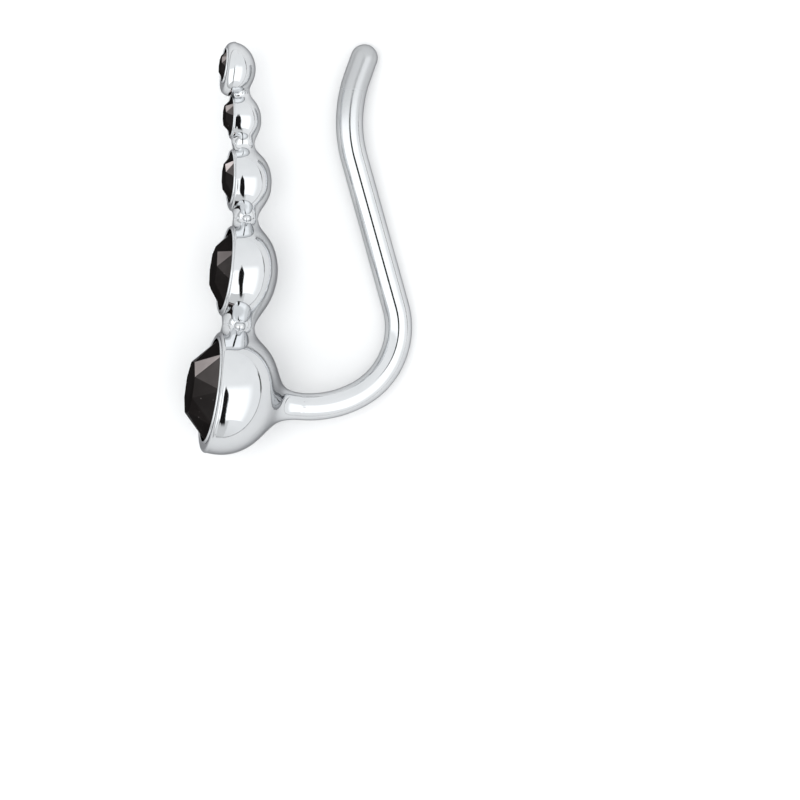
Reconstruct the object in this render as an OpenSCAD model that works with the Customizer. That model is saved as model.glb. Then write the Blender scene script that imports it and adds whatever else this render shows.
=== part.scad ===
// Ear climber: five graded cups with faceted stones, cast in one with the hook that goes through
// the ear and up behind it. It lies on its side, as it rests when it isn't worn.
// Each piece is drawn in the hook's own plane first. There +X runs from the stones to the hook,
// +Y up the row to the smallest cup, and the origin is the middle of the first stone's opening.

/* [Stones] */
// Diameter of the first and largest stone
stone_1_d = 4.3; // [4:0.05:4.6]
// Diameter of the second stone
stone_2_d = 3.4; // [3.1:0.05:3.7]
// Diameter of the third stone
stone_3_d = 2.16; // [1.9:0.02:2.4]
// Diameter of the fourth stone
stone_4_d = 1.68; // [1.5:0.02:1.9]
// Diameter of the fifth and smallest stone
stone_5_d = 1.42; // [1.2:0.02:1.6]
// Width of a bezel lip over the edge of its stone
lip_cover = 0.07; // [0.05:0.01:0.1]
// Thickness of the bezel lip at its inner edge
lip_edge = 0.05; // [0.03:0.01:0.08]
// Gap all round between a stone and its cup
seat_gap = 0.02; // [0.01:0.005:0.03]

/* [Cups] */
// Wall of the first cup beside its stone
wall_1 = 0.4; // [0.3:0.01:0.5]
// Wall of the second cup beside its stone
wall_2 = 0.25; // [0.2:0.01:0.4]
// Wall of the third cup beside its stone
wall_3 = 0.25; // [0.2:0.01:0.35]
// Wall of the fourth cup beside its stone
wall_4 = 0.13; // [0.12:0.01:0.25]
// Wall of the fifth cup beside its stone
wall_5 = 0.3; // [0.25:0.01:0.4]
// Bevel round the front edge of each cup, as a share of its wall
rim_bevel = 0.35; // [0.2:0.05:0.5]

/* [Links] */
// Gap between the first and second cups
gap_12 = 0.48; // [0.3:0.02:0.7]
// Gap between the second and third cups
gap_23 = 0.42; // [0.2:0.02:0.6]
// Gap between the third and fourth cups
gap_34 = 0.25; // [0.1:0.02:0.4]
// Gap between the fourth and fifth cups
gap_45 = 0.03; // [0.02:0.01:0.2]
// Thickness of the neck between the first and second cups
neck_12_d = 1.3; // [1:0.05:1.6]
// Thickness of the neck between the second and third cups
neck_23_d = 1; // [0.8:0.05:1.3]
// Thickness of the neck between the third and fourth cups
neck_34_d = 0.92; // [0.7:0.02:1.1]
// Thickness of the neck between the fourth and fifth cups
neck_45_d = 0.82; // [0.7:0.02:1]
// Diameter of the beads beside the first neck
bead_12_d = 0.58; // [0.4:0.02:0.8]
// Diameter of the beads beside the second neck
bead_23_d = 0.4; // [0.3:0.02:0.6]
// Diameter of the beads beside the fourth neck
bead_45_d = 0.32; // [0.2:0.02:0.5]

/* [Hook] */
// Diameter of the hook's wire
wire_d = 1.1; // [0.9:0.05:1.2]
// Height of the hook's root below the middle of the first cup
hook_drop = 0.54; // [0.3:0.02:0.8]
// Depth of the hook's root behind the front of the first cup
hook_root = 1.95; // [1.8:0.05:2.1]
// Angle at which the hook leaves the cup, below level
hook_dip = 4.2; // [0:0.2:8]
// Radius of the hollow curve between the cup and the wire
flare_r = 1.5; // [1.4:0.05:2]
// Length of that curve along the wire
flare_len = 1.35; // [1.2:0.05:1.4]
// Length of straight wire between the flare and the first bend
post_len = 0.5; // [0.2:0.1:1.2]
// Radius of the first bend, at the middle of the wire
bend_1_r = 4.3; // [3.5:0.1:5]
// Angle of the first bend
bend_1_a = 33; // [25:1:40]
// Radius of the second bend, the tight one
bend_2_r = 3.1; // [2.6:0.1:3.6]
// Angle of the second bend
bend_2_a = 77; // [70:1:84]
// Length of the straight stretch that lies behind the ear
leg_len = 6.25; // [5:0.05:7.5]
// Radius of the last bend, which turns the tip outward
bend_3_r = 5.45; // [4.5:0.05:6.5]
// Angle of the last bend
bend_3_a = 36; // [28:1:44]
// Length of the straight tip, without its round end
tip_len = 0.8; // [0.6:0.1:1.4]

/* [Hidden] */
$fn = 96;

// Columns of the table of cups
STONE = 0; // diameter of the stone
WALL = 1;  // wall beside the stone
LEAN = 2;  // lean of the cup's face towards the hook, degrees
DROP = 3;  // how far the cup's middle lies below the stone's, as a share of the wall
DEEP = 4;  // depth from front to back, as a share of the cup's radius
DOME = 5;  // radius of the domed back, as a share of the cup's radius
RISE = 6;  // rise of the dome's middle above the cup's, as a share of the cup's radius
CROWN = 7; // height of the stone above its girdle, as a share of the stone's radius
TURN = 8;  // turn of the stone in its cup, degrees

// One row for each cup, from the largest to the smallest
CUPS = [
    [stone_1_d, wall_1, 7.7, 0.2, 1.108, 1.13, 0.055, 0.53, 22],
    [stone_2_d, wall_2, 6.9, 0.15, 1.09, 1.28, -0.01, 0.42, 4],
    [stone_3_d, wall_3, 2.2, 0.4, 1.25, 1.36, -0.07, 0.42, 20],
    [stone_4_d, wall_4, 2.1, 0.3, 1.26, 1.24, -0.1, 0.55, 18],
    [stone_5_d, wall_5, 7, 0.4, 1.28, 1.18, -0.09, 0.45, 10],
];
COUNT = len(CUPS);

// Columns of the table of links
GAP = 0;   // gap between the two cups
NECK = 1;  // thickness of the neck
SLANT = 2; // slant of the link towards the hook, degrees
BACK = 3;  // setback of the neck behind the line of the cups' fronts
BEAD = 4;  // diameter of the beads beside it, 0 for none

// One row for each link, from the first and second cups to the fourth and fifth
LINKS = [
    [gap_12, neck_12_d, 7.3, 0.14, bead_12_d],
    [gap_23, neck_23_d, 3.3, 0.19, bead_23_d],
    [gap_34, neck_34_d, 0.4, 0.03, 0],
    [gap_45, neck_45_d, -8.4, 0.07, bead_45_d],
];

// Cut of the stones: the table's radius, the girdle's height and the depth below it are shares of
// the stone's radius
SIDES = 8;
STEP = 360 / SIDES;
TABLE = 0.52;
GIRDLE = 0.05;
PAVILION = 0.86;

// A tail's wide end and its place below the cup's middle as shares of the cup's radius, its depth
// as a share of the cup's, and its thin end as a share of the neck's radius
TAIL_R = 0.45;
TAIL_LOW = 0.35;
TAIL_DEPTH = 0.46;
TAIL_END = 0.9;
// How far a neck reaches into each cup, as a share of the cup's radius
NECK_REACH = 0.3;
// Depth of the beads behind the fronts, as a share of the neck's thickness
BEAD_DEPTH = 0.34;

// Directions in the hook's plane: out of a cup's front, and up along it
function out_of(lean) = [-cos(lean), sin(lean)];
function up_along(lean) = [sin(lean), cos(lean)];
function turned(a) = [cos(a), sin(a)];

// Sizes of cup i
function stone_r(i) = CUPS[i][STONE] / 2;
function cup_r(i) = stone_r(i) + CUPS[i][WALL];
function depth(i) = CUPS[i][DEEP] * cup_r(i);
function dome_r(i) = CUPS[i][DOME] * cup_r(i);
function drop(i) = CUPS[i][DROP] * CUPS[i][WALL];
function rise(i) = CUPS[i][RISE] * cup_r(i);
function bevel(i) = rim_bevel * CUPS[i][WALL];

// Middle of cup i's front, counted up the row from the first
function reach(i) = cup_r(i - 1) + LINKS[i - 1][GAP] + cup_r(i);
function cup_at(i) = i == 0 ? [0, -drop(0)] : cup_at(i - 1) + reach(i) * up_along(LINKS[i - 1][SLANT]);
function stone_at(i) = cup_at(i) + drop(i) * up_along(CUPS[i][LEAN]);

// A point at a depth behind the front of cup i
function behind(i, d) = cup_at(i) - d * out_of(CUPS[i][LEAN]);

// A point of the link above cup i, at a depth behind the line of the fronts
function link_point(i, d) = let (slant = LINKS[i][SLANT])
    cup_at(i) + (cup_r(i) + LINKS[i][GAP] / 2) * up_along(slant) - d * out_of(slant);
function neck_r(i) = LINKS[i][NECK] / 2;
function neck_at(i) = link_point(i, LINKS[i][BACK] + neck_r(i));

// The stone: a facet's middle is this much nearer the axis than its corners. Then the radii of the
// girdle's corners and of the table, and the heights of the parts
corner = cos(STEP / 2);
function wide(i) = stone_r(i) / corner;
function table_r(i) = TABLE * stone_r(i);
function crown_h(i) = CUPS[i][CROWN] * stone_r(i);
function band_h(i) = GIRDLE * stone_r(i);
function pavilion_h(i) = PAVILION * stone_r(i);
// Height of the crown at radius r, along the facets that rise highest there
function crown_at(i, r) = crown_h(i) * (wide(i) - r) / (wide(i) - table_r(i) * corner);
function lip_r(i) = stone_r(i) - lip_cover;
// Depth of the stone's girdle behind the lip's inner edge
function sink(i) = crown_at(i, lip_r(i)) + lip_edge;

// The hook as a list of stretches: radius, or 0 for a straight one, then length or angle
HOOK = [
    [0, flare_len],
    [0, post_len],
    [bend_1_r, bend_1_a],
    [bend_2_r, bend_2_a],
    [0, leg_len],
    [bend_3_r, -bend_3_a],
    [0, tip_len],
];
FLARE = 0;
TIGHT = 3;
TIP = len(HOOK) - 1;
wire_r = wire_d / 2;
// Every other stretch is a hair thicker and laps over the ends of its neighbours, so that the
// stretches join into one wire
HAIR = 0.004;
LAP = 0.03;
function hair(n) = n % 2 == 1 ? HAIR : 0;
function lap(n) = n % 2 == 1 ? LAP : 0;
root = [behind(0, hook_root).x, -hook_drop];

// Heading and starting point of stretch n
function heading(n) = n == 0 ? -hook_dip : heading(n - 1) + (HOOK[n - 1][0] == 0 ? 0 : HOOK[n - 1][1]);
function centre(n) = start(n) + HOOK[n][0] * turned(heading(n) + 90 * sign(HOOK[n][1]));
function start(n) = n == 0 ? root
    : HOOK[n - 1][0] == 0 ? start(n - 1) + HOOK[n - 1][1] * turned(heading(n - 1))
    : centre(n - 1) + HOOK[n - 1][0] * turned(heading(n) - 90 * sign(HOOK[n - 1][1]));
tip = start(TIP) + tip_len * turned(heading(TIP));

// How it lies: the wire touches the floor at the tight bend and at the tip, and the first cup
// touches it at the shoulder between its side and its domed back
to_tip = tip - centre(TIGHT);
fall = atan2(to_tip.y, to_tip.x) - acos(bend_2_r / norm(to_tip));
shoulder = depth(0) - dome_r(0) + sqrt(pow(dome_r(0), 2) - pow(cup_r(0), 2) - pow(rise(0), 2));
arm = turned(fall) * (tip - behind(0, shoulder));
facing = pow(turned(fall) * out_of(CUPS[0][LEAN]), 2);
span = pow(arm, 2) + pow(cup_r(0), 2) * facing;
roll = asin((sqrt(pow(arm * wire_r, 2) + span * (pow(cup_r(0), 2) - pow(wire_r, 2))) - arm * wire_r) / span);
lift = sin(roll) * (turned(fall) * tip) + wire_r;

// Middle of the ground that it covers, along the row and across it
far_right = centre(TIGHT).x + bend_2_r + wire_r;
far_left = (stone_at(0) + (crown_h(0) - sink(0)) * out_of(CUPS[0][LEAN])).x - table_r(0) * sin(CUPS[0][LEAN]);
far_up = tip.y + wire_r;
far_down = cup_at(0).y - cup_r(0);
middle = [(far_right + far_left) / 2 * cos(roll), (far_up + far_down) / 2];

// Laid on the floor: turned about the line in the hook's plane that stays level
module laid() {
    translate([-middle.x, -middle.y, lift])
        rotate(a = roll, v = [-sin(fall), cos(fall), 0])
            children();
}

// Placed at p in the hook's plane, with +Z of what follows along the direction d
module at(p, d) {
    translate([p.x, p.y, 0])
        rotate([0, 90, atan2(d.y, d.x)])
            children();
}

// A tapered rod from p to q in the hook's plane
module rod(p, q, r_p, r_q) {
    at(p, q - p) cylinder(h = norm(q - p), r1 = r_p, r2 = r_q);
}

// Cup i without its seat: a round wall with a bevelled front and a domed back
module cup_body(i) {
    at(cup_at(i), out_of(CUPS[i][LEAN]))
        intersection() {
            translate([0, 0, -depth(i)]) {
                cylinder(h = depth(i) - bevel(i), r = cup_r(i));
                translate([0, 0, depth(i) - bevel(i)])
                    cylinder(h = bevel(i), r1 = cup_r(i), r2 = cup_r(i) - bevel(i));
            }
            translate([0, -rise(i), dome_r(i) - depth(i)]) sphere(r = dome_r(i));
        }
}

// Seat of cup i: the outline that the stone's corners sweep, with the gap round it, open at the lip
module cup_seat(i) {
    r = stone_r(i) + seat_gap;
    girdle_top = crown_at(i, stone_r(i)) - sink(i) + seat_gap;
    under = seat_gap * norm([1, pavilion_h(i) / wide(i)]);
    culet = -sink(i) - band_h(i) - pavilion_h(i) - under;
    at(stone_at(i), out_of(CUPS[i][LEAN]))
        rotate_extrude()
            polygon([
                [0, culet],
                [r, culet + pavilion_h(i) * r / wide(i)],
                [r, girdle_top],
                [lip_r(i) + seat_gap, -lip_edge + seat_gap],
                [lip_r(i) + seat_gap, 1],
                [0, 1],
            ]);
}

// Link above cup i: a neck that runs into both cups, and a tail that narrows to it from above
module link(i) {
    along = up_along(LINKS[i][SLANT]);
    half_gap = LINKS[i][GAP] / 2;
    foot = neck_at(i) - (half_gap + NECK_REACH * cup_r(i)) * along;
    head = neck_at(i) + (half_gap + NECK_REACH * cup_r(i + 1)) * along;
    rod(foot, head, neck_r(i), neck_r(i));
    tail = behind(i + 1, TAIL_DEPTH * depth(i + 1)) - TAIL_LOW * cup_r(i + 1) * up_along(CUPS[i + 1][LEAN]);
    rod(tail, neck_at(i), TAIL_R * cup_r(i + 1), TAIL_END * neck_r(i));
}

// The two beads beside the neck above cup i
module beads(i) {
    p = link_point(i, LINKS[i][BACK] + BEAD_DEPTH * LINKS[i][NECK]);
    for (side = [-1, 1])
        translate([p.x, p.y, side * neck_r(i)]) sphere(d = LINKS[i][BEAD]);
}

// The hook's root, a hollow curve that narrows to the wire
module flare() {
    at(root, turned(heading(FLARE)))
        rotate_extrude()
            difference() {
                square([wire_r + flare_r, flare_len]);
                translate([wire_r + flare_r, flare_len]) circle(r = flare_r);
            }
}

// Stretch n of the wire
module stretch(n) {
    r = HOOK[n][0];
    if (r == 0)
        at(start(n), turned(heading(n)))
            translate([0, 0, -lap(n)])
                cylinder(h = HOOK[n][1] + 2 * lap(n), r = wire_r + hair(n));
    else {
        way = sign(HOOK[n][1]);
        more = lap(n) / r * 180 / PI;
        translate([centre(n).x, centre(n).y, 0])
            rotate(heading(n) - 90 * way)
                mirror([0, way < 0 ? 1 : 0, 0])
                    rotate(-more)
                        rotate_extrude(angle = abs(HOOK[n][1]) + 2 * more)
                            translate([r, 0]) circle(r = wire_r + hair(n));
    }
}

module setting_and_hook() {
    color("silver")
        laid()
            difference() {
                union() {
                    for (i = [0 : COUNT - 1]) cup_body(i);
                    for (i = [0 : COUNT - 2]) link(i);
                    for (i = [0 : COUNT - 2]) if (LINKS[i][BEAD] > 0) beads(i);
                    flare();
                    for (n = [FLARE + 1 : TIP]) stretch(n);
                    translate([tip.x, tip.y, 0]) sphere(r = wire_r + HAIR);
                }
                for (i = [0 : COUNT - 1]) cup_seat(i);
            }
}

// One level of a stone's corners: radius, height and turn
function ring(r, z, turn) = [for (k = [0 : SIDES - 1]) [r * cos(turn + k * STEP), r * sin(turn + k * STEP), z]];
// The triangles or four-sided faces between two levels of corners
function band(a, b) = [for (k = [0 : SIDES - 1]) [a + k, a + (k + 1) % SIDES, b + (k + 1) % SIDES, b + k]];

// Cut stone i: an eight-sided table, sixteen crown facets, a round girdle and a pointed back
module stone(i) {
    low = 0;
    mid = SIDES;
    top = 2 * SIDES;
    culet = 3 * SIDES;
    points = concat(
        ring(wide(i), -band_h(i), STEP / 2),
        ring(wide(i), 0, STEP / 2),
        ring(table_r(i), crown_h(i), 0),
        [[0, 0, -band_h(i) - pavilion_h(i)]]
    );
    crown = [for (k = [0 : SIDES - 1]) each [
        [top + k, mid + (k + SIDES - 1) % SIDES, mid + k],
        [top + k, mid + k, top + (k + 1) % SIDES],
    ]];
    pavilion = [for (k = [0 : SIDES - 1]) [culet, low + (k + 1) % SIDES, low + k]];
    table = [[for (k = [0 : SIDES - 1]) top + k]];
    color([0.06, 0.05, 0.055])
        laid()
            at(stone_at(i), out_of(CUPS[i][LEAN]))
                translate([0, 0, -sink(i)])
                    rotate(CUPS[i][TURN])
                        intersection() {
                            polyhedron(points, concat(table, crown, band(low, mid), pavilion));
                            translate([0, 0, -band_h(i) - pavilion_h(i)])
                                cylinder(h = pavilion_h(i) + band_h(i) + crown_h(i), r = stone_r(i));
                        }
}

module stone_1() { stone(0); }
module stone_2() { stone(1); }
module stone_3() { stone(2); }
module stone_4() { stone(3); }
module stone_5() { stone(4); }

setting_and_hook();
stone_1();
stone_2();
stone_3();
stone_4();
stone_5();
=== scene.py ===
import bpy
import mathutils
import numpy as np
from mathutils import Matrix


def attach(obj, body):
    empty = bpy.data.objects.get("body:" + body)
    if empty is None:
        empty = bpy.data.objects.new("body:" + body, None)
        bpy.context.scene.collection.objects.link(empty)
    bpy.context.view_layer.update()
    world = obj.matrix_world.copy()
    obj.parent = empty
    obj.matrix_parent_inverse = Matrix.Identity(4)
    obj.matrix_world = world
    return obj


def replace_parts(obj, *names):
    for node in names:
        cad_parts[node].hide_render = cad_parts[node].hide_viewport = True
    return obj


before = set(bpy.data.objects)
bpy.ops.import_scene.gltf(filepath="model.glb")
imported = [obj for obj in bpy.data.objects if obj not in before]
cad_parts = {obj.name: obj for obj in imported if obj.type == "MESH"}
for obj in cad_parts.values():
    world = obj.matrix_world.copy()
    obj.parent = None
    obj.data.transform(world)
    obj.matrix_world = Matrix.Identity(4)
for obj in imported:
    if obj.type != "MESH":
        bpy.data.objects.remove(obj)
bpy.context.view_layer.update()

# Ear climber: five cups of polished silver with black stones, in one with the hook.
# Shapes are worked out in millimetres in the hook's own plane, as in the CAD source: X runs from
# the stones to the hook, Y up the row to the smallest cup, and Z towards the viewer. The function
# laid() then turns them the way the piece lies and gives metres.

MM = 0.001
COUNT = 5
RIGHT, UP, TOWARD = np.eye(3)

# Sizes that the CAD source has too, from the largest cup to the smallest: each stone's radius, the
# wall beside it, how far the cup's front leans, how far the cup's middle lies below the stone's,
# how deep the cup is, the radius of its domed back and how far up that is set
STONE_R = np.array([4.3, 3.4, 2.16, 1.68, 1.42]) / 2
WALL = np.array([0.4, 0.25, 0.25, 0.13, 0.3])
CUP_R = STONE_R + WALL
LEAN = np.radians([7.7, 6.9, 2.2, 2.1, 7.0])
DROP = np.array([0.2, 0.15, 0.4, 0.3, 0.4]) * WALL
DEPTH = np.array([1.108, 1.09, 1.25, 1.26, 1.28]) * CUP_R
DOME_R = np.array([1.13, 1.28, 1.36, 1.24, 1.18]) * CUP_R
RISE = np.array([0.055, -0.01, -0.07, -0.1, -0.03]) * CUP_R
# How far the lip covers the stone, its thickness, and the gap round the stone
LIP_COVER = 0.07
LIP_EDGE = 0.05
SEAT_GAP = 0.02

# How much narrower each cup is at its rim than at its widest place, how much wider it is there than
# in the CAD source, and how far back that place is
RIM_IN = np.array([0.09, 0.12, 0.09, 0.07, 0.12])
SWELL = np.array([0.0, 0.0, 0.0, 0.0, 0.12])
WIDEST = np.array([0.75, 0.75, 0.55, 0.5, 0.5])
# Width and depth of the rounded front edge of each cup, and how far short of it the flat front ends
RIM_ROUND = np.array([0.14, 0.1, 0.09, 0.05, 0.24])
RIM_DEEP = np.array([0.14, 0.1, 0.09, 0.05, 0.36])
RIM_MARGIN = 0.01
# Radius of the bead round each lip, and how far its middle stands out from the front; the groove
# round that bead: its depth, its width, and where its outer edge is centred, from 0 for the cup's
# middle to 1 for the stone's; and how deep behind the front the part is that the seat takes away
LIP_BEAD = np.array([0.05, 0.05, 0.045, 0.03, 0.04])
BEAD_OUT = 0.01
GROOVE = 0.012
GROOVE_WIDTH = 0.035
GROOVE_SHARE = 0.8
FRONT_SINK = 0.015
# Softness of the turn from a cup's side to its domed back
SHOULDER = np.array([0.6, 0.6, 0.6, 0.45, 0.22])
# The rays that find a cup's outside: the depth that they start from, as a share of the cup's, how
# far behind the rounded rim the first ones point, how much closer together they are towards the
# back, and how often the stretch that holds the outside is halved
RAY_DEPTH = 0.4
RAY_MARGIN = 0.015
RAY_POWER = 1.4
HALVINGS = 30
# First and last angle, in degrees, and number of the rings over the lip's bead and round the rim
BEAD_ARC = (190, 8, 8)
RIM_ARC = (90, 4, 7)
# Columns round each cup and rings of rays, and how much closer the columns are beside the links
RINGS = [(224, 120), (192, 72), (160, 60), (144, 52), (144, 52)]
CROWDING = 0.35
# How far the seat's wall is clear of the lip's edge, and how far the seat stands out at the front
SEAT_CLEAR = 0.003
SEAT_OPEN = 0.4

# The links, from the lowest: the gap between the cups, the radius of the neck, how far the line from
# cup to cup slants, and how far the neck lies behind that line
GAP = np.array([0.48, 0.42, 0.25, 0.03])
NECK_R = np.array([1.3, 1.0, 0.92, 0.82]) / 2
SLANT = np.radians([7.3, 3.3, 0.4, -8.4])
BACK = np.array([0.14, 0.19, 0.03, 0.07])
# Diameter of the beads beside each neck, and their depth as a share of its thickness
BEAD_D = np.array([0.46, 0.34, 0.0, 0.28])
BEAD_DEPTH = 0.48
BALL_COLUMNS, BALL_RINGS = 40, 22
# How fast the links' backs and fronts widen towards the cups, and their sides, as a share of the
# slope that would just touch the cups' rims; how rounded their waists are; how soft their joins
# with the cups, as a share of that at the cups' fronts, and from what depth on it is whole; and how
# far each cup's part of a link runs past the middle of the gap
BACK_FLARE = 0.15
FRONT_FLARE = 0.12
SIDE_FLARE = 0.5
WAIST = 0.12
LINK_SOFT = np.array([0.75, 0.6, 0.4, 0.24])
FRONT_SOFT = 0.1
SOFT_DEPTH = 0.4
OVERLAP = 0.03

# The stones' cut: height of each crown and its turn, the number of sides and the angle between
# them; as shares of the radius, the table's corners, the girdle's height and the depth of the
# pointed back; and how far below the crown's slope the girdle's corners lie
CROWN = np.array([0.53, 0.42, 0.42, 0.55, 0.45]) * STONE_R
TURN = np.radians([22, 4, 20, 18, 10])
SIDES = 8
STEP = 2 * np.pi / SIDES
TABLE = 0.52
GIRDLE = 0.05
PAVILION = 0.86
GIRDLE_LOWER = 0.01
# How much light all facets send back, their own near-black colour; and the painted glow, for light
# sent back from inside the stone, that the facets that point at the girdle, and then those at the
# table's edge, get on top: most at a height round the stone, in degrees from the viewer's side, and
# less over a spread to both sides of it
DARK_TONE = 0.02
KITE_PAINTED_GLOW = np.array([0.07, 0.07, 0.09, 0.09, 0.6])
KITE_AT = np.array([12, 20, 20, 20, 35])
KITE_SPREAD = 16
STAR_PAINTED_GLOW = np.array([1.0, 0.4, 0.65, 0.45, 0.6])
STAR_AT = np.array([30, 40, 45, 45, 45])
STAR_SPREAD = 14
# Width of the rounded edges between facets, to start with and again for each millimetre of the
# stone's diameter, and the least turn between two facets, in degrees, that is rounded
EDGE_ROUND = 0.006
EDGE_TURN = 8

# The hook: the wire's radius, how deep in the first cup and how far down it starts, and its heading
WIRE_R = 0.55
ROOT_DEPTH = 1.95
ROOT_DROP = 0.54
DIP = np.radians(-4.2)
# Stretches of the wire: radius, or 0 for a straight one, then the length or the angle; and the
# number of the tight bend, which it rests on
HOOK = [(0, 1.85), (4.3, 33), (3.1, 77), (0, 6.25), (5.45, -36), (0, 0.8)]
TIGHT = 2
WIRE_STEP = 0.1
WIRE_COLUMNS, END_RINGS = 56, 9
# The first cup has the foot of the wire: how far along it that is cut off, how soft its join with
# the cup is, and how far below the cup's axis the rays start, to look along the wire
ROOT_CUT = HOOK[0][1] + 0.04
ROOT_SOFT = 1.3
ROOT_SHIFT = 0.25
# The rest of the wire is this much thicker, to cover the foot's end, and starts at this point
SKIN = 0.0015
WIRE_START = 4
# Corners of the silver that are closer than this are one
WELD = 0.0001


def circle(t, first, second):
    """Points on a circle of radius 1: cosine of t along first plus sine of t along second."""
    return np.cos(t)[:, None] * first + np.sin(t)[:, None] * second


def out_of(lean):
    """Direction out of a cup's front that leans by this angle: minus cosine, sine, in the plane."""
    return np.array([-np.cos(lean), np.sin(lean), 0.0])


def up_along(lean):
    """Direction up along a front that leans by this angle: sine, cosine, in the plane."""
    return np.array([np.sin(lean), np.cos(lean), 0.0])


def row_of_cups():
    """Middles of the cups' fronts: each lies two radii and a gap from the last, along the slant."""
    at = [-DROP[0] * UP]
    for i in range(COUNT - 1):
        at.append(at[-1] + (CUP_R[i] + GAP[i] + CUP_R[i + 1]) * up_along(SLANT[i]))
    return np.array(at)


CUP_AT = row_of_cups()
STONE_AT = np.array([CUP_AT[i] + DROP[i] * up_along(LEAN[i]) for i in range(COUNT)])

# How near a polygon's sides are, as a share of its corners' radius, and the radius of the polygon
# whose sides touch the stone's circle
CORNER = np.cos(STEP / 2)
WIDE = STONE_R / CORNER


def crown_at(i, r):
    """Height of a stone's crown over its girdle at radius r: a straight slope to the table."""
    return CROWN[i] * (WIDE[i] - r) / (WIDE[i] - TABLE * STONE_R[i] * CORNER)


# The crown's slope gives how deep the girdle lies behind the lip
LIP_R = STONE_R - LIP_COVER
SINK = np.array([crown_at(i, LIP_R[i]) + LIP_EDGE for i in range(COUNT)])


def wire_path():
    """Points and headings along the middle of the wire, about one step apart. On a straight they
    are the start plus the length times cosine and sine of the heading, and on a bend the centre
    plus the radius times them, a quarter turn back. Also the bends' centres."""
    at = CUP_AT[0] - ROOT_DEPTH * out_of(LEAN[0])
    at = np.array([at[0], -ROOT_DROP])
    head, points, heads, centres = DIP, [at[None]], [np.array([DIP])], []
    for radius, size in HOOK:
        length = size if radius == 0 else abs(np.radians(size)) * radius
        count = max(2, int(np.ceil(length / WIRE_STEP)))
        along = np.linspace(0, length, count + 1)[1:]
        if radius == 0:
            centre = None
            turn = np.zeros(count)
            pts = at + along[:, None] * np.array([np.cos(head), np.sin(head)])
        else:
            way = np.sign(size)
            centre = at + radius * way * np.array([-np.sin(head), np.cos(head)])
            turn = way * along / radius
            now = head + turn
            pts = centre - radius * way * np.stack([-np.sin(now), np.cos(now)], 1)
        points.append(pts)
        heads.append(head + turn)
        centres.append(centre)
        at, head = pts[-1], (head + turn)[-1]
    points, heads = np.concatenate(points), np.concatenate(heads)
    return np.c_[points, np.zeros(len(points))], heads, centres


WIRE_AT, WIRE_HEAD, CENTRES = wire_path()
ROOT_WAY = np.cos(DIP) * RIGHT + np.sin(DIP) * UP


def resting():
    """How it lies, as in the CAD source: touching at the tight bend, the tip and the first cup.
    Gives the direction of the line that stays level, the roll about it, the lift that puts the
    lowest places on the ground, and the middle of the piece."""
    tip = WIRE_AT[-1, :2]
    to_tip = tip - CENTRES[TIGHT]
    bend = HOOK[TIGHT][0]
    fall = np.arctan2(to_tip[1], to_tip[0]) - np.arccos(bend / np.hypot(*to_tip))
    shoulder = DEPTH[0] - DOME_R[0] + np.sqrt(DOME_R[0] ** 2 - CUP_R[0] ** 2 - RISE[0] ** 2)
    across = np.array([np.cos(fall), np.sin(fall)])
    arm = across @ (tip - (CUP_AT[0] - shoulder * out_of(LEAN[0]))[:2])
    span = arm ** 2 + CUP_R[0] ** 2 * (across @ out_of(LEAN[0])[:2]) ** 2
    root = np.sqrt((arm * WIRE_R) ** 2 + span * (CUP_R[0] ** 2 - WIRE_R ** 2))
    roll = np.arcsin((root - arm * WIRE_R) / span)
    lift = np.sin(roll) * (across @ tip) + WIRE_R
    right = CENTRES[TIGHT][0] + bend + WIRE_R
    table = STONE_AT[0] + (CROWN[0] - SINK[0]) * out_of(LEAN[0])
    left = table[0] - TABLE * STONE_R[0] * np.sin(LEAN[0])
    top, low = tip[1] + WIRE_R, CUP_AT[0][1] - CUP_R[0]
    middle = np.array([(right + left) / 2 * np.cos(roll), (top + low) / 2, 0.0])
    return np.array([-np.sin(fall), np.cos(fall), 0.0]), roll, lift, middle


AXIS, ROLL, LIFT, MIDDLE = resting()


def turned(p):
    """Rodrigues' turn by the roll about the line that stays level in the hook's plane."""
    p = np.asarray(p, float)
    along = (p @ AXIS)[..., None] * AXIS
    return p * np.cos(ROLL) + np.cross(AXIS, p) * np.sin(ROLL) + along * (1 - np.cos(ROLL))


def laid(p):
    """From the hook's plane in millimetres to the way it lies in metres: turned, then moved."""
    return (turned(p) - MIDDLE + LIFT * TOWARD) * MM


def mesh_piece(name, points, faces, smooth=True):
    """A mesh object at the origin from an array of laid points and a list of corner numbers."""
    mesh = bpy.data.meshes.new(name)
    mesh.from_pydata(points.tolist(), [], faces)
    mesh.update()
    mesh.polygons.foreach_set("use_smooth", [smooth] * len(mesh.polygons))
    piece = bpy.data.objects.new(name, mesh)
    bpy.context.scene.collection.objects.link(piece)
    return piece


def skin(name, grid, first, last):
    """A closed skin over a grid of rings: ring k and ring k + 1 are joined by four-sided faces,
    and the end rings by triangles to a pole. Turned inside out if its volume comes out negative."""
    rings, cols = grid.shape[:2]
    points = laid(np.concatenate([grid.reshape(-1, 3), [first], [last]]))
    here = np.arange(rings * cols).reshape(rings, cols)
    side = np.roll(here, -1, axis=1)
    quads = np.stack([here[:-1], side[:-1], side[1:], here[1:]], -1).reshape(-1, 4)
    low = np.stack([np.full(cols, rings * cols), side[0], here[0]], -1)
    high = np.stack([np.full(cols, rings * cols + 1), here[-1], side[-1]], -1)
    tris = np.concatenate([low, high, quads[:, :3], quads[:, [0, 2, 3]]])
    a, b, c = (points[tris[:, k]] - points[0] for k in range(3))
    faces = low.tolist() + high.tolist() + quads.tolist()
    if np.einsum("ij,ij->i", a, np.cross(b, c)).sum() < 0:
        faces = [f[::-1] for f in faces]
    return mesh_piece(name, points, faces)


def ease(value, low, high):
    """0 up to low, 1 from high on, and a cubic between that starts and ends level."""
    share = np.clip((value - low) / (high - low), 0, 1)
    return share * share * (3 - 2 * share)


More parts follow.
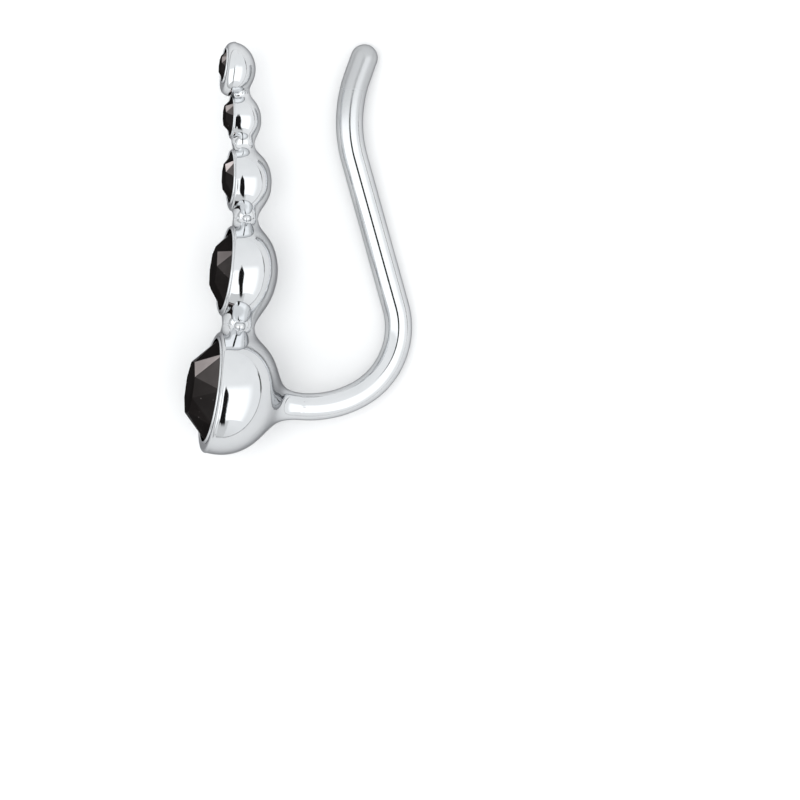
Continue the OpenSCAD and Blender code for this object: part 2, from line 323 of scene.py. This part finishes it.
def round_max(a, b, soft):
    """The larger of a and b. Where they are within soft of each other it is more, by the cube of
    what is left of soft, up to a sixth of soft, so that the join is even in curvature too."""
    h = np.maximum(soft - np.abs(a - b), 0) / soft
    return np.maximum(a, b) + h ** 3 * soft / 6


def round_min(a, b, soft):
    """The smaller of a and b, and less where they are close, in the same way."""
    h = np.maximum(soft - np.abs(a - b), 0) / soft
    return np.minimum(a, b) - h ** 3 * soft / 6


def meet(field, start, way, far):
    """Where rays from start along way cross the surface field = 0: the stretch between the start
    (inside, field below 0) and far (outside) is halved again and again, all rays at once."""
    lo = np.zeros(way.shape[:-1])
    hi = np.full(way.shape[:-1], far)
    for _ in range(HALVINGS):
        mid = (lo + hi) / 2
        inside = field(start + mid[..., None] * way) < 0
        lo, hi = np.where(inside, mid, lo), np.where(inside, hi, mid)
    return (lo + hi) / 2


def side_r(i, depth):
    """Radius of cup i's barrel side at a depth: a parabola, widest at WIDEST."""
    return CUP_R[i] + SWELL[i] - RIM_IN[i] * ((depth - WIDEST[i]) / WIDEST[i]) ** 2


def bare_cup(i, p):
    """Below 0 inside cup i alone: its barrel side and its domed back, with a rounded turn between.
    Also the depth of p behind its front."""
    q = p - CUP_AT[i]
    depth, rise, toward = -(q @ out_of(LEAN[i])), q @ up_along(LEAN[i]), q[..., 2]
    side = np.hypot(rise, toward) - side_r(i, depth)
    dome = np.sqrt((depth - DEPTH[i] + DOME_R[i]) ** 2 + (rise - RISE[i]) ** 2 + toward ** 2) - DOME_R[i]
    return round_max(side, dome, SHOULDER[i]), depth


def neck_middle(j):
    """Middle of neck j, half-way over the gap and set back by BACK and its own radius."""
    up, out = up_along(SLANT[j]), out_of(SLANT[j])
    return CUP_AT[j] + (CUP_R[j] + GAP[j] / 2) * up - (BACK[j] + NECK_R[j]) * out


def flare(i, j):
    """The slope of a line that starts from neck j's half-width at the middle of the gap and just
    touches the circle of cup i's rim. Also how far away it touches it."""
    rim, reach = CUP_R[i] - RIM_IN[i], CUP_R[i] + GAP[j] / 2
    touch = np.arctan2(NECK_R[j], reach) + np.arccos(rim / np.hypot(NECK_R[j], reach))
    return 1 / np.tan(touch), reach - rim * np.cos(touch)


def link_field(j, p):
    """Below 0 inside cups j and j + 1 and the link between them: a web of oval section that is
    narrowest at the middle of the gap and widens to both cups. It flows into them softly, but
    hardly at their fronts. Also how far p lies past the middle of the gap, up the row."""
    q = p - neck_middle(j)
    past, front = q @ up_along(SLANT[j]), q @ out_of(SLANT[j])
    (low_flare, low_end), (high_flare, high_end) = flare(j, j), flare(j + 1, j)
    waist = np.hypot(past, WAIST) - WAIST
    wide = NECK_R[j] + SIDE_FLARE * waist * np.where(past < 0, low_flare, high_flare)
    thick = NECK_R[j] + waist * np.where(front < 0, BACK_FLARE, FRONT_FLARE)
    both = thick * (np.hypot(p[..., 2] / wide, front / thick) - 1)
    both = np.maximum(both, np.maximum(-past - low_end, past - high_end))
    for i in (j, j + 1):
        cup_alone, depth = bare_cup(i, p)
        soft = LINK_SOFT[j] * (FRONT_SOFT + (1 - FRONT_SOFT) * ease(depth, 0.0, SOFT_DEPTH))
        both = round_min(both, cup_alone, soft)
    return both, past


def foot_field(p):
    """Below 0 inside the foot of the wire: the distance to a stretch of its middle line, less the
    wire's radius."""
    way = 2 * ROOT_CUT * ROOT_WAY
    share = np.clip((p - WIRE_AT[0]) @ way / (way @ way), 0, 1)
    return np.linalg.norm(p - WIRE_AT[0] - share[..., None] * way, axis=-1) - WIRE_R


def cup_field(i):
    """Below 0 inside cup i with its share of the links above and below it, which are cut off just
    past the middle of each gap. The first cup also has the foot of the wire."""
    def field(p):
        parts, ends = [], []
        for j, way in ((i, 1), (i - 1, -1)):
            if 0 <= j < COUNT - 1:
                both, past = link_field(j, p)
                parts.append(both)
                ends.append(way * past - OVERLAP)
        if i == 0:
            parts = [round_min(np.minimum.reduce(parts), foot_field(p), ROOT_SOFT)]
            ends.append((p - WIRE_AT[0]) @ ROOT_WAY - ROOT_CUT)
        return np.maximum(np.minimum.reduce(parts), np.maximum.reduce(ends))
    return field


def around_cup(i, cols):
    """Directions around cup i's axis, closer together above and below, where its links are."""
    t = np.linspace(0, 2 * np.pi, cols, endpoint=False)
    return circle(t - CROWDING * np.sin(2 * t), up_along(LEAN[i]), TOWARD)


def cup_front(i, around):
    """Rings of cup i's front: each is a radius along the directions around the axis. They run from
    the part that the seat takes away over the lip's bead, which is a circle's radius times cosine
    and sine, a fine groove and the flat front, and round the rim in a quarter of an oval."""
    lip, bead, edge, deep = LIP_R[i] + SEAT_GAP, LIP_BEAD[i], RIM_ROUND[i], RIM_DEEP[i]
    rim, groove = side_r(i, deep), lip + 2 * bead
    # Radius, height and share of the way from the cup's middle to the stone's
    rings = [(lip * s, -FRONT_SINK, 1) for s in (0.3, 0.7, 0.95)]
    rings += [(lip + bead + bead * np.cos(a), BEAD_OUT + bead * np.sin(a), 1)
              for a in np.radians(np.linspace(*BEAD_ARC))]
    rings += [(groove + GROOVE, -GROOVE, 1), (groove + GROOVE_WIDTH, 0.0, GROOVE_SHARE),
              (rim - edge - RIM_MARGIN, 0.0, 0)]
    rings += [(rim - edge + edge * np.cos(a), -deep + deep * np.sin(a), 0)
              for a in np.radians(np.linspace(*RIM_ARC))]
    radius, height, share = np.array(rings).T[..., None]
    centre = CUP_AT[i] + share * DROP[i] * up_along(LEAN[i]) + height * out_of(LEAN[i])
    return centre[:, None] + radius[..., None] * around


def cup(i, cols, back_rings):
    """Cup i: the rings of its front, and behind them the places where rays from a point inside meet
    the outside, from the rim to a pole at the back. The rays point at rings on a round bowl."""
    out, up = out_of(LEAN[i]), up_along(LEAN[i])
    around = around_cup(i, cols)
    rim = side_r(i, RIM_DEEP[i])
    base = CUP_AT[i] - RAY_DEPTH * DEPTH[i] * out
    low = np.arctan2(RIM_DEEP[i] + RAY_MARGIN - RAY_DEPTH * DEPTH[i], rim)
    share = np.linspace(0, 1, back_rings, endpoint=False)
    swing = low + (np.pi / 2 - low) * (1 - (1 - share) ** RAY_POWER)
    reach = rim / np.cos(low)
    bowl = np.cos(swing)[:, None, None] * around - (np.sin(swing)[:, None] * out)[:, None]
    aims, last = base + reach * bowl, base - reach * out
    if i == 0:
        base = base - ROOT_SHIFT * up
    way = (aims - base) / np.linalg.norm(aims - base, axis=-1)[..., None]
    end = (last - base) / np.linalg.norm(last - base)
    back = base + meet(cup_field(i), base, way, 2 * CUP_R[i])[..., None] * way
    pole = base + meet(cup_field(i), base, end, 2 * DEPTH[i]) * end
    grid = np.concatenate([cup_front(i, around), back])
    return skin(f"cup_{i + 1}", grid, STONE_AT[i] - FRONT_SINK * out, pole)


def seat(i, cols):
    """The hollow that is cut for stone i, turned from the outline that its corners sweep with the
    gap round it, and open at the lip."""
    out = out_of(LEAN[i])
    slope = PAVILION * STONE_R[i] / WIDE[i]
    under = SEAT_GAP * np.hypot(1, slope)
    culet = -SINK[i] - (GIRDLE + PAVILION) * STONE_R[i] - under
    wide, lip = STONE_R[i] + SEAT_GAP, LIP_R[i] + SEAT_GAP + SEAT_CLEAR
    radius, height = np.array([
        *((share * wide, culet + slope * share * wide) for share in (0.3, 1)),
        (wide, crown_at(i, STONE_R[i]) - SINK[i] + SEAT_GAP),
        (lip, -LIP_EDGE + SEAT_GAP),
        (lip, SEAT_OPEN)]).T[..., None]
    grid = (STONE_AT[i] + height * out)[:, None] + radius[..., None] * around_cup(i, cols)
    return skin(f"seat_{i + 1}", grid, STONE_AT[i] + culet * out, STONE_AT[i] + SEAT_OPEN * out)


def ball(name, middle, radius):
    """A round bead: rings of radius times sine, at heights of radius times cosine."""
    around = circle(np.linspace(0, 2 * np.pi, BALL_COLUMNS, endpoint=False), RIGHT, UP)
    a = np.linspace(0, np.pi, BALL_RINGS)[1:-1]
    grid = middle + radius * (np.sin(a)[:, None, None] * around + np.cos(a)[:, None, None] * TOWARD)
    return skin(name, grid, middle + radius * TOWARD, middle - radius * TOWARD)


def beads(j):
    """The two beads beside neck j, one on each side."""
    up, out = up_along(SLANT[j]), out_of(SLANT[j])
    p = CUP_AT[j] + (CUP_R[j] + GAP[j] / 2) * up - (BACK[j] + BEAD_DEPTH * 2 * NECK_R[j]) * out
    return [ball(f"bead_{j + 1}_{n}", p + way * NECK_R[j] * TOWARD, BEAD_D[j] / 2)
            for n, way in enumerate((1, -1))]


def hook():
    """The wire: circles square to its path, from just inside the first cup's part of it, and a
    round end: circles of radius times cosine, moved on by radius times sine."""
    t = np.linspace(0, 2 * np.pi, WIRE_COLUMNS, endpoint=False)
    head, side = circle(WIRE_HEAD, RIGHT, UP), circle(WIRE_HEAD, UP, -RIGHT)
    radius = WIRE_R + SKIN
    around = circle(t, side[WIRE_START:, None], TOWARD)
    rings = WIRE_AT[WIRE_START:, None] + radius * around
    end = np.linspace(0, np.pi / 2, END_RINGS)[1:-1, None, None]
    cap = WIRE_AT[-1] + radius * np.sin(end) * head[-1] + radius * np.cos(end) * around[-1]
    tip = WIRE_AT[-1] + radius * head[-1]
    return skin("hook", np.concatenate([rings, cap]), WIRE_AT[WIRE_START - 1], tip)


def joined(name, parts, hollows):
    """One skin from closed parts that run into each other, less the hollows. Corners of the cuts
    that fall together are welded."""
    first = parts[0]
    for part in parts[1:] + hollows:
        cut = first.modifiers.new("join", "BOOLEAN")
        cut.operation = "DIFFERENCE" if part in hollows else "UNION"
        cut.solver, cut.object = "MANIFOLD", part
    first.modifiers.new("weld", "WELD").merge_threshold = WELD * MM
    made = bpy.data.meshes.new_from_object(first.evaluated_get(bpy.context.evaluated_depsgraph_get()))
    for part in parts + hollows:
        bpy.data.objects.remove(part)
    piece = bpy.data.objects.new(name, made)
    made.name = name
    bpy.context.scene.collection.objects.link(piece)
    return piece


def stone(i):
    """Stone i: an eight-sided table, sixteen crown facets between it and the girdle, a low girdle
    and a pointed back. Each level of corners is a radius times cosine and sine of eight angles. Each
    facet gets its own near-black colour and, on some crown facets, a painted glow that stands for the
    light that enters the stone and comes back out; both go to the material as a face attribute."""
    out, up = out_of(LEAN[i]), up_along(LEAN[i])
    k = np.arange(SIDES)

    def level(r, z, turn):
        around = circle(TURN[i] + turn + k * STEP, TOWARD, up)
        return STONE_AT[i] - r * around + (z - SINK[i]) * out

    low = level(STONE_R[i], -GIRDLE * STONE_R[i], STEP / 2)
    mid = level(STONE_R[i], crown_at(i, STONE_R[i]) - GIRDLE_LOWER, STEP / 2)
    top = level(TABLE * STONE_R[i], CROWN[i], 0)
    tip = STONE_AT[i] + (-SINK[i] - (GIRDLE + PAVILION) * STONE_R[i]) * out
    points = np.concatenate([low, mid, top, [tip]])
    after, before = (k + 1) % SIDES, (k - 1) % SIDES
    kite = np.stack([2 * SIDES + k, SIDES + before, SIDES + k], -1)
    star = np.stack([2 * SIDES + k, SIDES + k, 2 * SIDES + after], -1)
    band = np.stack([k, after, SIDES + after, SIDES + k], -1)
    back = np.stack([np.full(SIDES, 3 * SIDES), after, k], -1)
    faces = [(2 * SIDES + k).tolist()] + kite.tolist() + star.tolist() + band.tolist() + back.tolist()
    piece = mesh_piece(f"cut_stone_{i + 1}", laid(points), faces, smooth=False)

    # The crown facets come straight after the table. How high up the stone each one faces is an
    # angle from the viewer's side, and its painted glow falls off from that of its kind as a bell curve
    tone_and_painted_glow = np.full(len(faces), DARK_TONE)
    for first, corners, light, at, spread in (
            (1, kite, KITE_PAINTED_GLOW[i], KITE_AT[i], KITE_SPREAD),
            (1 + SIDES, star, STAR_PAINTED_GLOW[i], STAR_AT[i], STAR_SPREAD)):
        middle = points[corners].mean(1) - STONE_AT[i]
        high = np.degrees(np.arctan2(middle @ up, middle @ TOWARD))
        tone_and_painted_glow[first:first + SIDES] += light * np.exp(-((high - at) / spread) ** 2)
    piece.data.attributes.new("tone_and_painted_glow", "FLOAT", "FACE").data.foreach_set("value", tone_and_painted_glow)
    bevel = piece.modifiers.new("edges", "BEVEL")
    bevel.width, bevel.segments = EDGE_ROUND * MM * (1 + 2 * STONE_R[i]), 2
    bevel.limit_method, bevel.angle_limit = "ANGLE", np.radians(EDGE_TURN)
    return piece


silver_parts = [cup(i, cols, rings) for i, (cols, rings) in enumerate(RINGS)]
silver_parts += [bead for j in range(COUNT - 1) if BEAD_D[j] > 0 for bead in beads(j)]
silver_parts.append(hook())
hollows = [seat(i, cols) for i, (cols, rings) in enumerate(RINGS)]
body = joined("silver_body", silver_parts, hollows)
stones = [stone(i) for i in range(COUNT)]


class Tree:
    """A short way to write nodes: each call adds one node, and most give its first output."""

    def __init__(self, tree):
        self.tree = tree

    def add(self, kind, inputs=(), **settings):
        """A node with its settings, and each input linked to a socket or set to a value."""
        node = self.tree.nodes.new(kind)
        for name, value in settings.items():
            setattr(node, name, value)
        for name, value in dict(inputs).items():
            self.feed(node, name, value)
        return node

    def feed(self, node, name, value):
        """Links an input to a socket, or sets it to a value."""
        if isinstance(value, bpy.types.NodeSocket):
            self.tree.links.new(value, node.inputs[name])
        else:
            node.inputs[name].default_value = value

    def math(self, operation, *values):
        """A sum, a product or another simple operation on one to three values."""
        return self.add("ShaderNodeMath", dict(enumerate(values)), operation=operation).outputs[0]

    def rise(self, value, low, high):
        """0 up to low, 1 from high on, and smooth between."""
        return self.add("ShaderNodeMapRange", {"Value": value, "From Min": low, "From Max": high},
                        interpolation_type="SMOOTHSTEP").outputs[0]

    def fall(self, value, low, high):
        """1 up to low, 0 from high on, and smooth between."""
        return self.math("SUBTRACT", 1.0, self.rise(value, low, high))

    def within(self, value, low, high, soft_low, soft_high):
        """1 between low and high, and falling to 0 over the two soft widths outside them."""
        return self.math("MULTIPLY", self.rise(value, low - soft_low, low),
                         self.fall(value, high, high + soft_high))

    def scaled(self, value, low, high):
        """From low to high as the value goes from 0 to 1."""
        return self.add("ShaderNodeMapRange", {"Value": value, "To Min": low, "To Max": high}).outputs[0]

    def mix(self, share, a, b):
        """From value a to value b as the share goes from 0 to 1."""
        return self.add("ShaderNodeMix", {0: share, 2: a, 3: b}, data_type="FLOAT").outputs[0]

    def mix_colours(self, share, a, b):
        """From colour a to colour b, each three numbers or a socket."""
        ends = {name: value if isinstance(value, bpy.types.NodeSocket) else (*value, 1)
                for name, value in (("A", a), ("B", b))}
        return self.add("ShaderNodeMix", {"Factor": share, **ends}, data_type="RGBA").outputs["Result"]

    def shade(self, value, red, blue):
        """A nearly grey colour: the value, with its red and blue times these."""
        return self.add("ShaderNodeCombineColor", {
            "Red": self.math("MULTIPLY", value, red), "Green": value,
            "Blue": self.math("MULTIPLY", value, blue)}).outputs[0]


def polish_group():
    """Marks of polishing and wear: fine scratches from stretched noise, and broad soft patches."""
    group = bpy.data.node_groups.new("polish_marks", "ShaderNodeTree")
    face = group.interface
    face.new_socket("Place", in_out="INPUT", socket_type="NodeSocketVector")
    face.new_socket("Grain", in_out="INPUT", socket_type="NodeSocketFloat")
    for name in ("Scratches", "Patches"):
        face.new_socket(name, in_out="OUTPUT", socket_type="NodeSocketFloat")
    t = Tree(group)
    given = t.add("NodeGroupInput").outputs
    drawn_out = t.add("ShaderNodeMapping", {
        "Vector": given["Place"], "Scale": (1.0, 0.15, 1.0), "Rotation": (0.0, 0.0, 0.5)}).outputs[0]
    lines = t.add("ShaderNodeTexNoise", {
        "Vector": drawn_out, "Scale": given["Grain"], "Detail": 3.0, "Roughness": 0.6}).outputs[0]
    broad = t.add("ShaderNodeTexNoise", {
        "Vector": given["Place"], "Scale": 900.0, "Detail": 2.0}).outputs[0]
    t.add("NodeGroupOutput", {"Scratches": t.rise(lines, 0.45, 0.75), "Patches": t.rise(broad, 0.3, 0.7)})
    return group


POLISH = polish_group()


def finish(name, grain, strength, height):
    """A new material with its node tree, its shader, the object's own place and the patches of the
    polish. The scratches are of this grain, as a bump of this strength and height in metres."""
    mat = bpy.data.materials.new(name)
    mat.use_nodes = True
    t = Tree(mat.node_tree)
    shader = mat.node_tree.nodes["Principled BSDF"]
    place = t.add("ShaderNodeTexCoord").outputs["Object"]
    marks = t.add("ShaderNodeGroup", node_tree=POLISH)
    t.feed(marks, "Place", place)
    t.feed(marks, "Grain", grain)
    t.feed(shader, "Normal", t.add("ShaderNodeBump", {
        "Strength": strength, "Distance": height, "Height": marks.outputs["Scratches"]}).outputs[0])
    return mat, t, shader, place, marks.outputs["Patches"]


# Silver's colour in the darker and the lighter patches, and the painted shade that makes the hook's tip
# greyer; where the tip's painted shade and roughness begin and are whole along X and Y as the piece lies,
# in metres; and the roughness between the patches and at the tip
SILVER_DARK, SILVER_LIGHT, SILVER_TIP_SHADE = (0.77, 0.785, 0.80), (0.81, 0.822, 0.835), (0.59, 0.6, 0.61)
TIP_X = (0.0, 0.001)
TIP_Y = (0.0036, 0.0072)
SILVER_ROUGH = (0.03, 0.06)
TIP_ROUGH = 0.3


def silver():
    """Polished silver: bright and a little blue, with a dark edge tint that paints shade where it turns
    away, faint marks of the polishing, and rougher towards the tip of the hook, with a painted shade
    that makes it greyer there."""
    mat, t, shader, place, patches = finish("polished_silver", 9000.0, 0.05, 0.000004)
    spot = t.add("ShaderNodeSeparateXYZ", {0: place}).outputs
    # Towards the tip: rougher, and a painted shade of darker grey in the base colour
    tip = t.math("MULTIPLY", t.rise(spot["X"], *TIP_X), t.rise(spot["Y"], *TIP_Y))
    tint = t.mix_colours(patches, SILVER_DARK, SILVER_LIGHT)
    t.feed(shader, "Base Color", t.mix_colours(tip, tint, SILVER_TIP_SHADE))
    t.feed(shader, "Roughness", t.mix(tip, t.scaled(patches, *SILVER_ROUGH), TIP_ROUGH))
    t.feed(shader, "Metallic", 1.0)
    # A dark edge tint, much darker than silver's own, paints shade: dark outlines where the surface turns
    # away
    t.feed(shader, "Specular Tint", (0.35, 0.35, 0.36, 1))
    return mat


def black_stone():
    """Black stone: nearly black facets with a sharp gloss, some of them painted a warm grey, a painted
    glow for the light that the facets behind send back, and a few specks of dust."""
    mat, t, shader, place, patches = finish("black_stone_cut", 5000.0, 0.03, 0.000003)
    tone_and_painted_glow = t.add("ShaderNodeAttribute", attribute_name="tone_and_painted_glow").outputs["Fac"]
    cells = t.add("ShaderNodeTexVoronoi", {"Vector": place, "Scale": 2300.0}).outputs["Distance"]
    dust = t.fall(cells, 0.03, 0.07)
    # Painted glow: the lit facets' warm grey, varied by the patches, goes into the base colour with the
    # dust
    lit = t.math("MULTIPLY", tone_and_painted_glow, t.scaled(patches, 0.8, 1.15))
    t.feed(shader, "Base Color", t.shade(t.math("MULTIPLY_ADD", dust, 0.12, lit), 1.12, 0.98))
    t.feed(shader, "Metallic", 0.5)
    t.feed(shader, "Specular IOR Level", 0.0)
    t.feed(shader, "Roughness", 0.05)
    t.feed(shader, "Specular Tint", (0.03, 0.03, 0.03, 1))
    return mat


body.data.materials.clear()
body.data.materials.append(silver())
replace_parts(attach(body, "root"), "setting_and_hook")
black = black_stone()
for i, piece in enumerate(stones):
    piece.data.materials.append(black)
    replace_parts(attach(piece, "root"), f"stone_{i + 1}")

# The floor is a sheet of paper. It looks white, and a little greyer in what the silver mirrors
FLOOR_HALF = 0.6
FLOOR_MIRRORED = 0.7
FLOOR_SEEN = 0.97
corners = FLOOR_HALF * np.array([[-1, -1, 0], [1, -1, 0], [1, 1, 0], [-1, 1, 0]])
floor = mesh_piece("floor", corners, [[0, 1, 2, 3]], smooth=False)
paper = bpy.data.materials.new("white_paper")
paper.use_nodes = True
sheet = Tree(paper.node_tree)
direct = sheet.add("ShaderNodeLightPath").outputs["Is Camera Ray"]
matt = paper.node_tree.nodes["Principled BSDF"]
sheet.feed(matt, "Base Color", sheet.mix_colours(direct, (FLOOR_MIRRORED,) * 3, (FLOOR_SEEN,) * 3))
sheet.feed(matt, "Roughness", 0.9)
floor.data.materials.append(paper)

# The camera looks down on the hook's plane, from a little to the left of square. Its aim and its
# lens follow from the place of the plane's origin in the picture and from the pixels to a millimetre
VIEW = np.radians(10)
PX = 24.6
ORIGIN_PX = np.array([210.2, 390])
FRAME_PX = 800
DISTANCE = 0.5
SENSOR = 36
toward_camera = turned([-np.sin(VIEW), 0, np.cos(VIEW)])
image_right = turned([np.cos(VIEW), 0, np.sin(VIEW)])
image_up = turned(UP)
off = (FRAME_PX / 2 - ORIGIN_PX) / PX
aim = laid([off[0] * np.cos(VIEW), -off[1], off[0] * np.sin(VIEW)])
camera_data = bpy.data.cameras.new("camera")
camera_data.sensor_width = SENSOR
camera_data.lens = SENSOR * DISTANCE / (FRAME_PX / PX * MM)
camera_data.clip_start = 0.01
camera = bpy.data.objects.new("camera", camera_data)
bpy.context.scene.collection.objects.link(camera)
camera.matrix_world = mathutils.Matrix(np.vstack([
    np.c_[image_right, image_up, toward_camera, aim + DISTANCE * toward_camera],
    [0, 0, 0, 1]]).tolist())
bpy.context.scene.camera = camera
bpy.context.scene.view_settings.view_transform = "Standard"

# Brightness of the room: in the middle, towards the small end of the row, towards its large end and
# at the left of that, and far left; the softbox and the slot in it; and the horizon's line to the
# left, in the middle and beside the hook
ROOM, ROOM_SMALL_END, ROOM_LARGE_END, ROOM_CORNER, ROOM_LEFT = 0.97, 0.93, 0.8, 0.70, 0.5
SOFTBOX, SLOT = 1.35, 0.01
HORIZON_LEFT, HORIZON_MIDDLE, HORIZON_BESIDE = 0.7, 0.45, 0.03
# The softbox's two parts: from where to where each is across and along, and how soft its ends are
SOFTBOX_PARTS = [((-72.0, -6.0, 8.0, 5.0), (-52.0, 1.0, 1.2, 6.0)),
                 ((-6.0, 34.0, 5.0, 22.0), (-50.0, 2.0, 1.2, 16.0))]
# The slot: from where to where it is along, and how soft its ends are; its middle across at its two
# ends and half its width there; and where along it narrows to nothing
SLOT_ALONG = (-56.0, 16.0, 12.0, 3.0)
SLOT_MIDDLE = (-12.0, -7.5)
SLOT_HALF = (7.0, 6.5)
SLOT_END = (-4.0, 20.0)
# The part of the horizon's line that is beside the hook: where it begins across, and from where to
# where it is along; and how far from the horizon the line is dark and where it ends, each elsewhere
# and beside the hook
BESIDE_ACROSS = (30.0, 60.0)
BESIDE_ALONG = (2.0, 22.0, 8.0, 12.0)
LINE_DARK = (0.8, 2.0)
LINE_END = (2.5, 4.2)


def studio():
    """The room's light by direction: a broad white softbox overhead with a dark slot in it, light
    grey round it, greyer low down on the near side and far left, and a thin dark line at the
    horizon. Across is the angle from the overhead direction to the right, and along is towards the
    small end of the row, both in the hook's own plane and in degrees."""
    world = bpy.data.worlds.new("studio")
    world.use_nodes = True
    t = Tree(world.node_tree)
    way = t.add("ShaderNodeTexCoord").outputs["Generated"]

    def part(axis):
        return t.add("ShaderNodeVectorMath", {0: way, 1: tuple(axis)},
                     operation="DOT_PRODUCT").outputs["Value"]

    def degrees(operation, *values):
        return t.math("MULTIPLY", t.math(operation, *values), 180 / np.pi)

    def both(a, b):
        return t.math("MULTIPLY", a, b)

    right, forth, over = (part(turned(axis)) for axis in np.eye(3))
    across = degrees("ARCTAN2", right, over)
    along = degrees("ARCSINE", forth)
    height = degrees("ARCSINE", part(TOWARD))

    light = t.mix(t.rise(along, 20.0, 60.0), ROOM, ROOM_SMALL_END)
    light = t.mix(t.fall(along, -95.0, -50.0), light, ROOM_LARGE_END)
    light = t.mix(both(t.fall(along, -54.0, -52.5), t.fall(across, 2.0, 8.0)), light, ROOM_CORNER)
    light = t.mix(t.fall(across, -100.0, -78.0), light, ROOM_LEFT)

    lit = [both(t.within(across, *wide), t.within(along, *long)) for wide, long in SOFTBOX_PARTS]
    light = t.mix(t.math("MAXIMUM", *lit), light, SOFTBOX)

    slot_at = t.mix(t.rise(along, -50.0, 5.0), *SLOT_MIDDLE)
    slot_half = both(t.mix(t.rise(along, -50.0, 0.0), *SLOT_HALF), t.fall(along, *SLOT_END))
    off_slot = t.math("ABSOLUTE", t.math("SUBTRACT", across, slot_at))
    slot = t.fall(t.math("SUBTRACT", off_slot, slot_half), -1.0, 1.0)
    light = t.mix(both(slot, t.within(along, *SLOT_ALONG)), light, SLOT)

    beside = both(t.rise(across, *BESIDE_ACROSS), t.within(along, *BESIDE_ALONG))
    line = t.fall(t.math("ABSOLUTE", height), t.mix(beside, *LINE_DARK), t.mix(beside, *LINE_END))
    dark = t.mix(t.rise(across, -20.0, 20.0), HORIZON_LEFT, HORIZON_MIDDLE)
    dark = t.mix(beside, dark, HORIZON_BESIDE)
    light = t.mix(both(line, t.fall(along, 28.0, 50.0)), light, dark)

    t.feed(world.node_tree.nodes["Background"], "Color", t.shade(light, 0.985, 1.01))
    bpy.context.scene.world = world


studio()

# A soft round lamp overhead, which the silver doesn't mirror
lamp_data = bpy.data.lights.new("overhead", "AREA")
lamp_data.shape, lamp_data.size, lamp_data.energy = "DISK", 0.5, 1.0
lamp = bpy.data.objects.new("overhead", lamp_data)
lamp.location = (0, 0, 0.6)
lamp.visible_glossy = False
bpy.context.scene.collection.objects.link(lamp)
